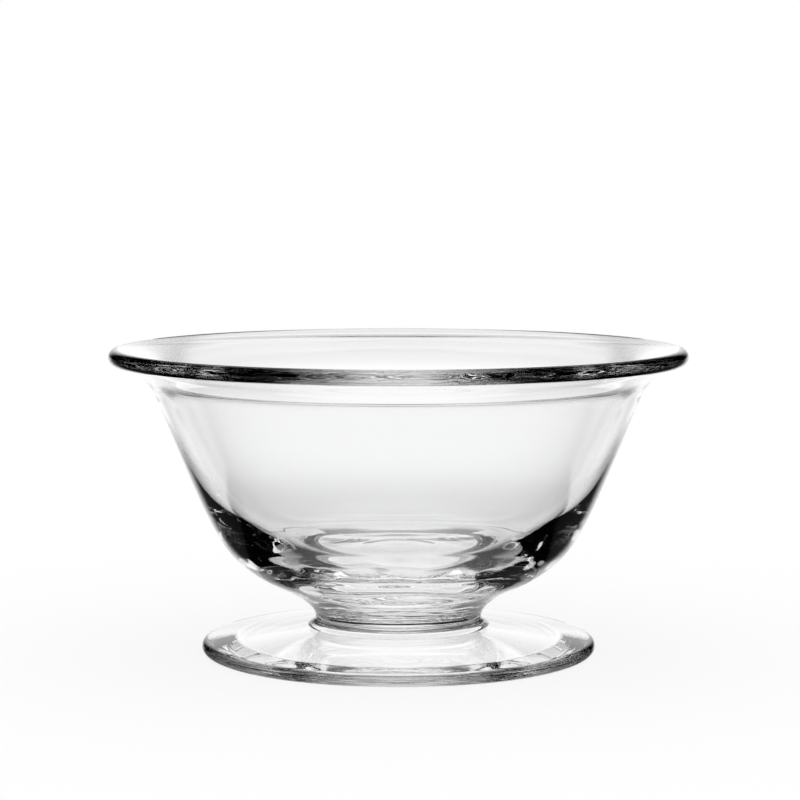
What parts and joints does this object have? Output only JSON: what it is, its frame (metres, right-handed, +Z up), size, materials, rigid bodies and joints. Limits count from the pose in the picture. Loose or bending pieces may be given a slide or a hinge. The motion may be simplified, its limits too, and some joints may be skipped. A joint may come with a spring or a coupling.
{
  "type": "trifle bowl",
  "caption": "Round footed trifle bowl in clear, thick-walled glass, with a flared rounded rim, a short drawn-in stem and a disc foot.",
  "frame": {"origin": "centre of the ring that the foot stands on, at table height", "axes": "+Z up along the bowl's axis of revolution, from the foot to the open mouth; X and Y are level and alike"},
  "size_m": [0.24, 0.24, 0.1273],
  "materials": {
    "bowl_glass": "clear, fire polished",
    "stem_glass": "clear, fire polished",
    "foot_glass": "clear, fire polished, with a ground and polished mark underneath"
  },
  "bodies": {
    "root": {"bowl": "bowl_glass", "stem": "stem_glass", "foot": "foot_glass"}
  },
  "joints": []
}
